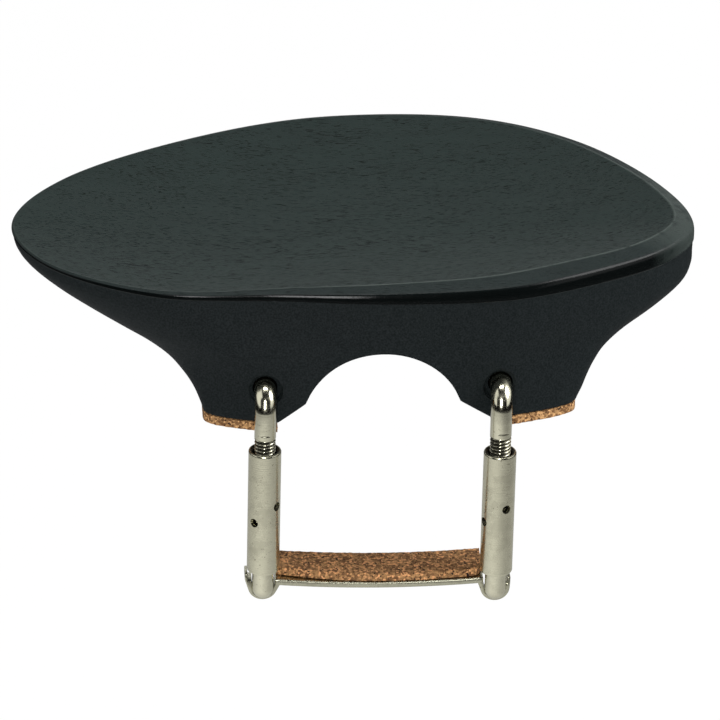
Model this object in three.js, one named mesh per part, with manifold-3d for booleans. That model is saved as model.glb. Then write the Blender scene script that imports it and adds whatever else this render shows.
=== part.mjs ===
// Centre-mounted violin chinrest: a dished wooden cup on a two-footed block, cork pads,
// and a turnbuckle clamp with a bottom bracket.
// Millimetres. +X runs along the violin's end edge, to the right as seen from the clamp.
// +Y runs from the clamp over the violin, +Z is up. The origin is the seat on the violin's
// edge: midway between the clamp legs, at the underside of the foot corks.
import * as THREE from 'three';
import { mergeVertices } from 'three/addons/utils/BufferGeometryUtils.js';
import Module from 'manifold-3d';

// Cup
const cupLeftReach = 67.2;
const cupRightReach = 58.9;
const cupBackReach = 69.13;
const faceFront = 8.6;
const faceRadius = 104;
const faceShift = 3;
const rimHeight = 30;
const rollWidth = 4.6;
const rollHeight = 4.2;
const dishDepth = 6;
const dishCentreX = -6;
const dishCentreY = 29;

// Block, feet and the arch that clears the tailpiece
const footCorkThickness = 2;
const footDepth = 12;
const leftFootOuter = 32.6;
const leftFootInner = 19.1;
const rightFootOuter = 36.2;
const rightFootInner = 20.1;
const archRadius = 14.8;
const archTop = 16.4;
const archSpring = 6.2;
const archReach = 38;

// Clamp hooks
const legSpacing = 43;
const legSetback = 9.2;
const rodDiameter = 3.95;
const hookHeight = 8.7;
const hookBendRadius = 3;
const hookReach = 10;
const hookThreadTop = 0.3;
const threadDiameter = 3.9;
const threadDepth = 0.36;
const threadPitch = 0.7;
const runningGap = 0.3;
const mouthDiameter = 6;
const mouthDepth = 0.8;

// Barrels
const barrelDiameter = 6;
const barrelLength = 24.9;
const barrelChamfer = 0.3;
const leftBarrelTop = 2.3;
const barrelStagger = 0.7;
const keyHoleDiameter = 1.7;
const keyHoleOffset = 1.6;
const leftKeyAngle = 50;
const rightKeyAngle = 26;

// Studs
const studFootDrop = 1.45;
const studThreadLength = 8;
const threadEndGap = 1.5;

// Bracket
const plateThickness = 1.2;
const plateWidth = 9.6;
const plateFront = 9;
const plateDrop = 1.8;
const plateSag = 0.8;
const plateCornerRadius = 2;
const tongueThickness = 0.5;
const tongueWidth = 3.4;
const tongueKnee = 1.2;
const leftTongueReach = 3.3;
const leftTongueRise = 1.2;
const rightTongueReach = 2.8;
const rightTongueRise = 0.1;
const neckReach = 3.3;
const cradleGap = 0.25;
const stripCorkThickness = 1.9;
const stripCorkWidth = 8.2;
const stripCorkEndInset = 0.2;
const stripCorkLeftInset = 1.6;
const stripCorkRightInset = 0.5;
const glueGap = 0.05;

const cutOverrun = 1;
const weldGap = 0.0001;

// Counts
const outlineSteps = 72;
const rodSides = 16;
const bendSteps = 6;
const domeSteps = 5;
const threadSteps = 12;
const barrelSides = 32;
const keyHoleSides = 12;
const arcSegments = 8;
const plateSegments = 7;

// Cup outline from above: shares of the reach to each side, and of the way from front to back.
const outlineShares = [
  [0, 0.003], [0.4, 0.03], [0.7, 0.139], [0.91, 0.256], [1, 0.37], [0.93, 0.573], [0.7, 0.818],
  [0.33, 0.978], [-0.13, 0.995], [-0.53, 0.859], [-0.855, 0.644], [-1, 0.39], [-0.91, 0.189],
  [-0.63, 0.045], [-0.28, 0.022],
];

// How far each level of the wood has spread from the foot outline to the rim's outline,
// at equal steps of height.
const spreadShares = {
  right: [0, 0.055, 0.1, 0.16, 0.25, 0.435, 0.735, 0.945, 1, 1, 1],
  back: [0, 0, 0.005, 0.02, 0.06, 0.16, 0.38, 0.64, 0.85, 0.96, 1],
  left: [0, 0.025, 0.062, 0.12, 0.2, 0.33, 0.505, 0.685, 0.855, 0.975, 1],
  front: [0, 0.025, 0.07, 0.13, 0.22, 0.38, 0.58, 0.74, 0.86, 0.95, 1],
};

// Rolled edge of the cup at twelve even turns, from the right by way of the back and the left.
const rollWidthShares = [0.74, 0.7, 0.5, 0.32, 0.22, 0.14, 0.08, 0.09, 0.26, 0.66, 0.99, 0.88];
const rollHeightShares = [0.93, 0.73, 0.49, 0.35, 0.25, 0.2, 0.15, 0.16, 0.32, 0.63, 0.89, 1];
const rimDropShares = [0.008, 0.016, 0.023, 0.055, 0.062, 0.06, 0.043, 0.055, 0.063, 0.023, 0.003, 0.018];
// Its section from the wall's top to the crest: shares of its width inwards and of its height.
const rollSectionShares = [[0, 0.3], [0.025, 0.52], [0.11, 0.69], [0.36, 0.82], [1, 1]];
const dishRingShares = [0.93, 0.84, 0.7, 0.54, 0.36, 0.18];
const dishPower = 2.3;
const footCornerPower = 8;

const wasm = await Module();
wasm.setup();

const wood = new THREE.MeshStandardMaterial({ color: 0x1f2424, roughness: 0.45, metalness: 0 });
const cork = new THREE.MeshStandardMaterial({ color: 0x8a6238, roughness: 0.95, metalness: 0 });
const nickel = new THREE.MeshStandardMaterial({ color: 0xb0ae9b, roughness: 0.2, metalness: 1 });

const cupDepth = cupBackReach + faceFront;
const legHalf = legSpacing / 2;
const rodRadius = rodDiameter / 2;
const threadRadius = threadDiameter / 2;
const barrelRadius = barrelDiameter / 2;
const boreRadius = threadRadius + runningGap;
const rightBarrelTop = leftBarrelTop + barrelStagger;
const studShankTop = leftBarrelTop + barrelLength;
const hookThreadLength = hookThreadTop + studShankTop - studThreadLength - threadEndGap;
const plateTopDepth = rightBarrelTop + barrelLength + plateDrop;
const studFootCentre = plateTopDepth + studFootDrop;
const plateHalf = legHalf - rodRadius - cradleGap;
const quarterTurn = Math.PI / 2;
const plainSides = { bevelEnabled: false, curveSegments: arcSegments };

// Turns a closed geometry into a solid.
function solid(geometry) {
  const bare = geometry.clone();
  for (const name of Object.keys(bare.attributes)) {
    if (name !== 'position') bare.deleteAttribute(name);
  }
  const merged = mergeVertices(bare, weldGap);
  const vertProperties = Float32Array.from(merged.attributes.position.array);
  const triVerts = Uint32Array.from(merged.index.array);
  return new wasm.Manifold(new wasm.Mesh({ numProp: 3, vertProperties, triVerts }));
}

// Turns a solid back into a named mesh.
function namedMesh(name, body, material) {
  const { vertProperties, triVerts } = body.getMesh();
  const geometry = new THREE.BufferGeometry();
  geometry.setAttribute('position', new THREE.BufferAttribute(vertProperties, 3));
  geometry.setIndex(new THREE.BufferAttribute(triVerts, 1));
  geometry.computeVertexNormals();
  const mesh = new THREE.Mesh(geometry, material);
  mesh.name = name;
  return mesh;
}

function indexedGeometry(points, index) {
  const geometry = new THREE.BufferGeometry();
  geometry.setFromPoints(points);
  geometry.setIndex(index);
  return geometry;
}

// A closed skin over rings of equal point counts, each counter-clockwise about the way
// from the first ring to the last, with a point to close either end.
function ringSolid(rings, firstPoint, lastPoint) {
  const count = rings[0].length;
  const points = [...rings.flat(), firstPoint, lastPoint];
  const first = points.length - 2;
  const last = points.length - 1;
  const lastRow = (rings.length - 1) * count;
  const index = [];
  for (let i = 0; i < count; i += 1) {
    const next = (i + 1) % count;
    for (let row = 0; row < lastRow; row += count) {
      index.push(row + i, row + next, row + next + count);
      index.push(row + i, row + next + count, row + i + count);
    }
    index.push(first, next, i, last, lastRow + i, lastRow + next);
  }
  return solid(indexedGeometry(points, index));
}

// An outline in X and Z, extruded along Y between two places.
function extrudeAlongY(shape, front, back) {
  const geometry = new THREE.ExtrudeGeometry(shape, { ...plainSides, depth: back - front });
  geometry.rotateX(quarterTurn);
  geometry.translate(0, back, 0);
  return solid(geometry);
}

// An outline in X and Y, extruded upwards between two heights.
function extrudeUp(shape, low, high) {
  const geometry = new THREE.ExtrudeGeometry(shape, { ...plainSides, depth: high - low });
  geometry.translate(0, 0, low);
  return solid(geometry);
}

// The convex front face of the block, an arc seen from above.
function faceY(x) {
  return faceRadius - faceFront - Math.sqrt(faceRadius ** 2 - (x + faceShift) ** 2);
}

// A value that changes smoothly around the cup, given at the right, back, left and front.
function around(turn, values) {
  const quarter = (turn / quarterTurn + 4) % 4;
  const side = Math.floor(quarter);
  const blend = (1 - Math.cos((quarter - side) * Math.PI)) / 2;
  return values[side] * (1 - blend) + values[(side + 1) % 4] * blend;
}

// A share that is given at even turns round the rim, read on a smooth closed curve.
function roundRim(turn, shares) {
  const count = shares.length;
  const place = (turn / quarterTurn / 4 * count + count) % count;
  const start = Math.floor(place);
  const [before, from, to, after] = [-1, 0, 1, 2].map((step) => shares[(start + step + count) % count]);
  const t = place - start;
  const bend = 2 * before - 5 * from + 4 * to - after;
  const twist = 3 * (from - to) + after - before;
  return from + t / 2 * (to - before + t * (bend + t * twist));
}

// Each step round the cup: the rim point, its turn about the dish, the rim's two heights
// and the point of the foot outline that it stands over.
function cupSteps() {
  const corners = outlineShares.map(([across, along]) => {
    const reach = across < 0 ? cupLeftReach : cupRightReach;
    return new THREE.Vector3(across * reach, along * cupDepth - faceFront, 0);
  });
  const outline = new THREE.CatmullRomCurve3(corners, true, 'centripetal');
  const rim = Array.from({ length: outlineSteps }, (_, i) => outline.getPoint(i / outlineSteps));
  const places = rim.map((point) => point.x);
  const rightEnd = places.indexOf(Math.max(...places));
  const leftEnd = places.indexOf(Math.min(...places));
  const footMiddle = (rightFootOuter - leftFootOuter) / 2;
  const footHalf = (rightFootOuter + leftFootOuter) / 2;
  return rim.map((point, i) => {
    const reach = point.x < 0 ? -places[leftEnd] : places[rightEnd];
    const across = point.x / reach;
    const turn = Math.atan2(2 * (point.y - dishCentreY) / cupDepth, across);
    const x = footMiddle + across * footHalf;
    const bulge = (1 - Math.abs(across) ** footCornerPower) ** (1 / footCornerPower);
    const side = i > rightEnd && i < leftEnd ? 1 : -1;
    const y = faceY(x) + footDepth / 2 * (1 + side * bulge);
    const crestZ = rimHeight * (1 - roundRim(turn, rimDropShares));
    const edgeZ = crestZ - rollHeight * roundRim(turn, rollHeightShares);
    return { rim: point, turn, crestZ, edgeZ, foot: new THREE.Vector3(x, y, footCorkThickness) };
  });
}

// The wood under the rim, ring by ring from the feet up.
function flareRings(steps) {
  const sides = [spreadShares.right, spreadShares.back, spreadShares.left, spreadShares.front];
  const levels = spreadShares.front.length - 1;
  return Array.from({ length: levels + 1 }, (_, level) => steps.map((step) => {
    const spread = around(step.turn, sides.map((shares) => shares[level]));
    const point = step.foot.clone().lerp(step.rim, spread);
    point.z = THREE.MathUtils.lerp(footCorkThickness, step.edgeZ, level / levels);
    return point;
  }));
}

// The rolled edge, from the wall's top in to the crest of the rim.
function rollRings(steps, centre) {
  return rollSectionShares.map(([across, up]) => steps.map(({ rim, turn, crestZ, edgeZ }) => {
    const width = rollWidth * roundRim(turn, rollWidthShares) * across;
    const inward = new THREE.Vector3(centre.x - rim.x, centre.y - rim.y, 0).setLength(width);
    const z = THREE.MathUtils.lerp(edgeZ, crestZ, up);
    return new THREE.Vector3(rim.x + inward.x, rim.y + inward.y, z);
  }));
}

// The dish, from the crest down to its lowest point.
function dishRings(crest, centre) {
  return dishRingShares.map((share) => crest.map((point) => {
    const ringPoint = centre.clone().lerp(point, share);
    ringPoint.z = centre.z + (point.z - centre.z) * share ** dishPower;
    return ringPoint;
  }));
}

// The arch between the feet, with a slope from each of its springs down to the foot.
function archCutter() {
  const centreZ = archTop - archRadius;
  const half = Math.sqrt(archRadius ** 2 - (archSpring - centreZ) ** 2);
  const rise = archSpring - footCorkThickness;
  const below = footCorkThickness - cutOverrun;
  const leftFoot = leftFootInner + (leftFootInner - half) / rise * cutOverrun;
  const rightFoot = rightFootInner + (rightFootInner - half) / rise * cutOverrun;
  const springTurn = Math.atan2(archSpring - centreZ, half);
  const shape = new THREE.Shape();
  shape.moveTo(-leftFoot, below);
  shape.lineTo(rightFoot, below);
  shape.lineTo(half, archSpring);
  shape.absarc(0, centreZ, archRadius, springTurn, Math.PI - springTurn, false);
  shape.closePath();
  return extrudeAlongY(shape, -faceFront - cutOverrun, archReach - faceFront);
}

// A round hole for a hook, from the front face into the block.
function hookHole(x, radius, depth) {
  const start = faceY(x) - cutOverrun;
  const length = depth + cutOverrun;
  const geometry = new THREE.CylinderGeometry(radius, radius, length, rodSides);
  geometry.translate(x, start + length / 2, hookHeight);
  return solid(geometry);
}

function chinrest() {
  const steps = cupSteps();
  const centre = new THREE.Vector3(dishCentreX, dishCentreY, rimHeight - dishDepth);
  const rings = [...flareRings(steps), ...rollRings(steps, centre)];
  rings.push(...dishRings(rings.at(-1), centre));
  const footCentre = new THREE.Vector3(0, faceY(0) + footDepth / 2, footCorkThickness);
  let body = ringSolid(rings, footCentre, centre).subtract(archCutter());
  for (const x of [-legHalf, legHalf]) {
    body = body.subtract(hookHole(x, rodRadius + runningGap, hookReach + runningGap));
    body = body.subtract(hookHole(x, mouthDiameter / 2, mouthDepth));
  }
  return namedMesh('chinrest', body, wood);
}

// A cork pad under a foot, with the foot's own outline between two places along X.
function footCork(name, low, high) {
  const outline = cupSteps().map(({ foot }) => new THREE.Vector2(foot.x, foot.y));
  const band = extrudeUp(new THREE.Shape(outline), 0, footCorkThickness);
  const keep = new THREE.BoxGeometry(high - low, cupDepth, footCorkThickness * 3);
  keep.translate((low + high) / 2, 0, 0);
  return namedMesh(name, band.intersect(solid(keep)), cork);
}

// A screw thread down the Z axis between two heights; hand is 1 for a right-hand thread
// and -1 for a left-hand one. Rows alternate between root and crest.
function screwThread(low, high, hand) {
  const halfPitch = threadPitch / 2;
  const rows = Math.floor((high - low) / halfPitch) - 2;
  const points = [];
  for (let row = 0; row < rows + 3; row += 1) {
    const radius = row % 2 === 0 ? threadRadius - threadDepth : threadRadius;
    for (let i = 0; i < threadSteps; i += 1) {
      const share = i / threadSteps;
      const angle = share * Math.PI * 2 * hand;
      const z = low + row * halfPitch + share * threadPitch;
      points.push(new THREE.Vector3(radius * Math.cos(angle), radius * Math.sin(angle), z));
    }
  }
  points.push(new THREE.Vector3(0, 0, low), new THREE.Vector3(0, 0, high));
  const lowPoint = points.length - 2;
  const highPoint = points.length - 1;
  const at = (row, i) => (i < threadSteps ? row * threadSteps + i : (row + 2) * threadSteps);
  const index = [];
  const face = (a, b, c) => index.push(a, ...(hand > 0 ? [b, c] : [c, b]));
  for (let i = 0; i < threadSteps; i += 1) {
    for (let row = 0; row < rows; row += 1) {
      face(at(row, i), at(row, i + 1), at(row + 1, i + 1));
      face(at(row, i), at(row + 1, i + 1), at(row + 1, i));
    }
    face(lowPoint, at(0, i + 1), at(0, i));
    face(highPoint, at(rows, i), at(rows, i + 1));
  }
  for (const step of [0, 1]) {
    face(lowPoint, at(step, 0), at(step + 1, 0));
    face(highPoint, at(rows + step + 1, 0), at(rows + step, 0));
  }
  return solid(indexedGeometry(points, index));
}

// A ring of the rod about a centre, lying across the way it runs in the plane of Y and Z.
function rodRing(centre, lean) {
  return Array.from({ length: rodSides }, (_, i) => {
    const angle = i / rodSides * Math.PI * 2;
    const out = rodRadius * Math.sin(angle);
    const x = centre.x + rodRadius * Math.cos(angle);
    return new THREE.Vector3(x, centre.y + out * Math.cos(lean), centre.z - out * Math.sin(lean));
  });
}

// A hook: the thread and shank stand on the leg's axis, the bend leads back into the wood.
function hook(name, x) {
  const bendY = hookBendRadius - legSetback;
  const bendZ = hookHeight - hookBendRadius;
  const foot = new THREE.Vector3(0, -legSetback, hookThreadTop);
  const end = new THREE.Vector3(0, faceY(x) + hookReach, hookHeight);
  const rings = [rodRing(foot, 0)];
  for (let i = 0; i <= bendSteps; i += 1) {
    const lean = i / bendSteps * quarterTurn;
    const y = bendY - hookBendRadius * Math.cos(lean);
    const z = bendZ + hookBendRadius * Math.sin(lean);
    rings.push(rodRing(new THREE.Vector3(0, y, z), lean));
  }
  rings.push(rodRing(end, quarterTurn));
  const overlap = threadPitch * 2;
  const thread = screwThread(hookThreadTop - hookThreadLength, hookThreadTop + overlap, 1);
  const body = ringSolid(rings, foot, end).add(thread.translate(0, -legSetback, 0));
  const mesh = namedMesh(name, body, nickel);
  mesh.position.x = x;
  return mesh;
}

// A turnbuckle barrel: a tube with two cross holes at right angles for the key.
function barrel(name, x, topDepth, keyAngle) {
  const half = barrelLength / 2;
  const profile = [
    [boreRadius, -half], [barrelRadius - barrelChamfer, -half], [barrelRadius, barrelChamfer - half],
    [barrelRadius, half - barrelChamfer], [barrelRadius - barrelChamfer, half], [boreRadius, half],
    [boreRadius, -half],
  ].map(([radius, height]) => new THREE.Vector2(radius, height));
  const tube = new THREE.LatheGeometry(profile, barrelSides);
  tube.rotateX(quarterTurn);
  let body = solid(tube);
  const keyRadius = keyHoleDiameter / 2;
  const length = barrelDiameter + cutOverrun * 2;
  for (const [offset, turn] of [[keyHoleOffset, keyAngle], [-keyHoleOffset, keyAngle - 90]]) {
    const hole = new THREE.CylinderGeometry(keyRadius, keyRadius, length, keyHoleSides);
    hole.translate(0, 0, offset);
    hole.rotateZ(THREE.MathUtils.degToRad(turn));
    body = body.subtract(solid(hole));
  }
  const mesh = namedMesh(name, body, nickel);
  mesh.position.set(x, -legSetback, -topDepth - half);
  return mesh;
}

// A stud: a left-hand thread in the barrel, a smooth shank below it and a round foot.
function stud(name, x, drop) {
  const profile = [];
  for (let i = 0; i <= domeSteps; i += 1) {
    const angle = i / domeSteps * quarterTurn;
    const height = -studFootCentre - rodRadius * Math.cos(angle);
    profile.push(new THREE.Vector2(rodRadius * Math.sin(angle), height));
  }
  profile.push(new THREE.Vector2(rodRadius, -studShankTop), new THREE.Vector2(0, -studShankTop));
  profile[0].x = 0;
  const shank = new THREE.LatheGeometry(profile, rodSides);
  shank.rotateX(quarterTurn);
  const overlap = threadPitch * 2;
  const thread = screwThread(-studShankTop - overlap, studThreadLength - studShankTop, -1);
  const mesh = namedMesh(name, solid(shank).add(thread), nickel);
  mesh.position.set(x, -legSetback, -drop);
  return mesh;
}

// The bracket's top line, moved up by a lift: a shallow sag in straight steps.
function sagLine(half, lift) {
  return Array.from({ length: plateSegments + 1 }, (_, i) => {
    const x = (i / plateSegments * 2 - 1) * half;
    const sag = plateSag * (1 - (x / plateHalf) ** 2);
    return new THREE.Vector2(x, lift - plateTopDepth - sag);
  });
}

// A strip that follows the sag, between two lifts above the plate's top.
function sagStrip(half, low, high) {
  return new THREE.Shape([...sagLine(half, low), ...sagLine(half, high).reverse()]);
}

// The turn at which a straight side from a point at the right touches an arc below it.
function touch(x, z, radius) {
  return Math.atan2(z, x) - Math.acos(radius / Math.hypot(x, z));
}

// The cradle at the right end of the plate, round the back of a stud's foot: its axis lies below
// the plate's top by the foot's drop, and its arm ends above the plate's top by the rise.
function cradle(footDrop, reach, rise) {
  const inner = Math.sqrt(rodRadius ** 2 - (legSetback - plateFront) ** 2) + cradleGap;
  const outer = inner + tongueThickness;
  const armInside = reach - tongueThickness;
  const plateEnd = legHalf - plateHalf;
  const tip = footDrop + rise;
  const knee = tip - tongueKnee;
  const under = footDrop - plateThickness;
  const middle = footDrop - plateThickness / 2;
  const shape = new THREE.Shape();
  shape.moveTo(reach, tip);
  shape.lineTo(reach, knee);
  const outerStart = touch(reach, knee, outer);
  const outerEnd = Math.PI - touch(neckReach, under, outer);
  shape.absarc(0, 0, outer, outerStart, outerEnd, true);
  shape.lineTo(-neckReach, under);
  shape.lineTo(-neckReach, middle);
  shape.lineTo(-plateEnd, middle);
  const innerStart = Math.PI - touch(plateEnd, middle, inner);
  const innerEnd = touch(armInside, knee, inner);
  shape.absarc(0, 0, inner, innerStart, innerEnd, false);
  shape.lineTo(armInside, knee);
  shape.lineTo(armInside, tip);
  shape.closePath();
  const body = extrudeAlongY(shape, -plateFront, tongueWidth - plateFront);
  return body.translate(legHalf, 0, -plateTopDepth - footDrop);
}

// The bottom plate, with its back corners rounded and a cradle at each end.
function bracketPlate() {
  const back = plateWidth - plateFront;
  const strip = extrudeAlongY(sagStrip(plateHalf, -plateThickness, 0), -plateFront, back);
  const cornerX = plateHalf - plateCornerRadius;
  const cornerY = back - plateCornerRadius;
  const outline = new THREE.Shape();
  outline.moveTo(-plateHalf, -plateFront);
  outline.lineTo(plateHalf, -plateFront);
  outline.absarc(cornerX, cornerY, plateCornerRadius, 0, quarterTurn, false);
  outline.absarc(-cornerX, cornerY, plateCornerRadius, quarterTurn, Math.PI, false);
  outline.closePath();
  const keep = extrudeUp(outline, -plateTopDepth * 2, 0);
  const left = cradle(studFootDrop, leftTongueReach, leftTongueRise).mirror([1, 0, 0]);
  const right = cradle(studFootDrop + barrelStagger, rightTongueReach, rightTongueRise);
  const body = strip.intersect(keep).add(left).add(right);
  return namedMesh('bracket_plate', body, nickel);
}

// The room that a barrel needs to turn in, all the way down.
function barrelRoom(x) {
  const radius = barrelRadius + runningGap;
  const geometry = new THREE.CylinderGeometry(radius, radius, plateTopDepth * 2, rodSides);
  geometry.rotateX(quarterTurn);
  geometry.translate(x, -legSetback, -plateTopDepth);
  return solid(geometry);
}

// The cork strip, glued on a little askew: its front edge leaves the plate's at both ends,
// and its front corners are cut round the barrels.
function bracketCork() {
  const half = plateHalf - stripCorkEndInset;
  const back = plateWidth - plateFront;
  const front = -plateFront;
  const strip = extrudeAlongY(sagStrip(half, glueGap, glueGap + stripCorkThickness), front, back);
  const outline = new THREE.Shape();
  outline.moveTo(-half, front + stripCorkLeftInset);
  outline.quadraticCurveTo(-half / 2, front, 0, front);
  outline.quadraticCurveTo(half / 2, front, half, front + stripCorkRightInset);
  outline.lineTo(half, front + stripCorkWidth);
  outline.lineTo(-half, front + stripCorkWidth);
  outline.closePath();
  const keep = extrudeUp(outline, -plateTopDepth * 2, 0);
  let body = strip.intersect(keep);
  for (const x of [-legHalf, legHalf]) {
    body = body.subtract(barrelRoom(x));
  }
  return namedMesh('bracket_cork', body, cork);
}

const group = new THREE.Group();
group.add(chinrest());
group.add(footCork('left_foot_cork', -leftFootOuter - cutOverrun, -leftFootInner));
group.add(footCork('right_foot_cork', rightFootInner, rightFootOuter + cutOverrun));
group.add(hook('left_hook', -legHalf));
group.add(hook('right_hook', legHalf));
group.add(barrel('left_barrel', -legHalf, leftBarrelTop, leftKeyAngle));
group.add(barrel('right_barrel', legHalf, rightBarrelTop, rightKeyAngle));
group.add(stud('left_stud', -legHalf, 0));
group.add(stud('right_stud', legHalf, barrelStagger));
group.add(bracketPlate());
group.add(bracketCork());

export default group;
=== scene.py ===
# Centre-mounted violin chinrest: a dished black wooden cup on a footed block, cork pads, and a
# nickel-plated turnbuckle clamp with a corked bottom plate. Metres, +Z up, in the part's frame.
import math

import bmesh
import bpy
import numpy as np
from mathutils import Matrix, Vector


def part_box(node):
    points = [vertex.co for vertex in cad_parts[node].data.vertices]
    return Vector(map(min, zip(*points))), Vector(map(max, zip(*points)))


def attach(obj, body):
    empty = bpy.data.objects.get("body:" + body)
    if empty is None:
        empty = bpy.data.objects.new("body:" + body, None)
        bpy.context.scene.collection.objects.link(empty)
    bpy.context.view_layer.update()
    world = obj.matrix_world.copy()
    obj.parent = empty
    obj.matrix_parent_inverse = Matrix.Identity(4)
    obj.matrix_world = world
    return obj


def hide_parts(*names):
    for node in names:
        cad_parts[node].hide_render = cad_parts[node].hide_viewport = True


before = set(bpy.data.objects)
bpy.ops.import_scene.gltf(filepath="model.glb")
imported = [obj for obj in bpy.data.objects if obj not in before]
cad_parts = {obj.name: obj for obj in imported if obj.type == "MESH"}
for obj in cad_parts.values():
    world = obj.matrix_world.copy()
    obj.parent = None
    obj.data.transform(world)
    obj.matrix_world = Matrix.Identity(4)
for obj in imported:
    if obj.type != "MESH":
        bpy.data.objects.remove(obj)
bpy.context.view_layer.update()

# Bodies and places, from the frame
CUP = "cup"
BRACKET = "bracket"
cup_low, cup_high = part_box("chinrest")
left_pad_low, left_pad_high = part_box("left_foot_cork")
right_pad_low, right_pad_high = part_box("right_foot_cork")
plate_low, plate_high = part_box("bracket_plate")
strip_low, strip_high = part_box("bracket_cork")
PAD_THICKNESS = cup_low.z
stud_low, stud_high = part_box("left_stud")
right_stud_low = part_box("right_stud")[0]

# Wood
FACE_FRONT = 0.0086
FACE_RADIUS = 0.104
FACE_SHIFT = 0.003
DEPTH = cup_high.y + FACE_FRONT
FOOT_DEPTH = 0.012
FOOT_MIDDLE = (right_pad_high.x + left_pad_low.x) / 2
FOOT_HALF = (right_pad_high.x - left_pad_low.x) / 2
ARCH_RADIUS = 0.0148
ARCH_TOP = 0.0164
ARCH_SPRING = 0.0062
ARCH_CENTRE = ARCH_TOP - ARCH_RADIUS
ARCH_HALF = math.sqrt(ARCH_RADIUS**2 - (ARCH_SPRING - ARCH_CENTRE) ** 2)
ROLL_WIDTH = 0.0046
ROLL_HEIGHT = 0.0042
LIP_STEP = 0.00018
LIP_RADIUS = 0.00012
# Painted highlight: how much lighter the band's lower lip, the crest (right, back, left, front) and the roll's right
# end are coloured
LIP_PAINTED_HIGHLIGHT = 0.8
# Painted shade: the land gets only part of the satin finish, so it is coloured darker than the dish
LAND_SATIN_SHADE = 0.5
CREST_PAINTED_HIGHLIGHT = (0.8, 0.2, 0.1, 0.9)
CREST_EASE = 0.7
SIDE_PAINTED_SHEEN = 0.45
POLISH_FADE = (0.05, 0.0575)
RIM_HEIGHT = 0.03
DISH_CENTRE = Vector((-0.006, 0.029, RIM_HEIGHT - 0.006))
FOOT_CORNER_POWER = 8
DISH_POWER = 2.3
EDGE_ROUNDING = 0.0004
SHARP_ANGLE = 35
UNDER_SHARES = (0, 0.25, 0.5, 0.75, 0.93)
DISH_SHARES = (0.9975, 0.993, 0.985, 0.97, *np.linspace(0.945, 0, 26))
MOUTH_RADIUS = 0.003
MOUTH_DEPTH = 0.0008
MOUTH_CHAMFER = 0.00025
HOLE_CLEARANCE = 0.0003

# Outline of the rim from above: shares of the reach to each side, and of the depth from front to back
OUTLINE_SHARES = (
    (0, 0.003), (0.4, 0.03), (0.7, 0.139), (0.91, 0.256), (1, 0.37), (0.93, 0.573), (0.7, 0.818),
    (0.33, 0.978), (-0.13, 0.995), (-0.53, 0.859), (-0.855, 0.644), (-1, 0.39), (-0.91, 0.189),
    (-0.63, 0.045), (-0.28, 0.022),
)
# How far the wood has spread from the foot to the rim at equal steps of height, by side
SPREAD_SHARES = (
    (0, 0.055, 0.1, 0.16, 0.25, 0.435, 0.735, 0.945, 1, 1, 1),
    (0, 0, 0.005, 0.02, 0.06, 0.16, 0.38, 0.64, 0.85, 0.96, 1),
    (0, 0.025, 0.062, 0.12, 0.2, 0.33, 0.505, 0.685, 0.855, 0.975, 1),
    (0, 0.025, 0.07, 0.13, 0.22, 0.38, 0.58, 0.74, 0.86, 0.95, 1),
)
# The rim's roll and drop at twelve even turns, from the right by way of the back and the left
ROLL_WIDTH_SHARES = (0.74, 0.7, 0.5, 0.32, 0.22, 0.14, 0.08, 0.09, 0.26, 0.66, 0.99, 0.88)
ROLL_HEIGHT_SHARES = (0.93, 0.73, 0.49, 0.35, 0.25, 0.2, 0.15, 0.16, 0.32, 0.63, 0.89, 1)
RIM_DROP_SHARES = (0.008, 0.016, 0.023, 0.055, 0.062, 0.06, 0.043, 0.055, 0.063, 0.023, 0.003, 0.018)
# The roll's section: a steep polished band, a soft ridge, and a sloping land up to the crest.
# Each point is a share of the width inwards, a share of the height, and how polished it is there.
ROLL_SECTION = (
    (0, 0.08, 1), (0, 0.18, 1), (0, 0.3, 1), (0.008, 0.42, 1), (0.03, 0.53, 1), (0.065, 0.62, 1), (0.11, 0.69, 0.8),
    (0.15, 0.722, 0.35), (0.2, 0.745, 0.1), (0.3, 0.787, 0), (0.45, 0.842, 0), (0.6, 0.892, 0),
    (0.75, 0.936, 0), (0.9, 0.978, 0), (0.96, 0.993, 0), (1, 1, 0),
)

# Clamp. A tuple of rows holds where they start and end, and the step between them.
HOOK_BEND = 0.003
SHANK_EASE = 0.00008
SHANK_ROWS = (0.0007, 0.002, 0.00006)
SHANK_MIDDLE = 0.003
THREAD_RADIUS = 0.00195
THREAD_DEPTH = 0.00036
THREAD_PITCH = 0.0007
THREAD_CREST, THREAD_FLANK = 0.12, 0.7
THREAD_EASE = THREAD_PITCH * 0.1
STUD_EASE = 0.0001
SHANK_END = 0.0003
BORE_RADIUS = 0.00225
BORE_FLARE = 0.00035
BARREL_CHAMFER = 0.0003
CHAMFER_EASE = 0.3
KEY_ROWS = (-0.0035, 0.00351, 0.00035)
KEY_ROWS_HALF = 0.0037
BELOW_KEY_SHARES = (0.01, 0.2, 0.4, 0.6, 0.8)
ABOVE_KEY_SHARES = (0.2, 0.4, 0.6, 0.8, 0.99, 1)
KEY_HOLE_RADIUS = 0.00085
KEY_HOLE_FLARE, KEY_HOLE_REACH, KEY_HOLE_MOUTH = 1.25, 1.3, 0.0001
KEY_HOLE_OFFSET = 0.0016
KEY_ANGLES = {"left": 50, "right": 26}
GRIP_MARK_PLACE = 0.0013
GRIP_MARK_SHIFT = {"left": 0, "right": 0.00036}
GRIP_MARK_HALF = 0.0007
GRIP_MARK_HEIGHT = 0.00014
GRIP_MARK_DEPTH = 0.00005
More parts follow.
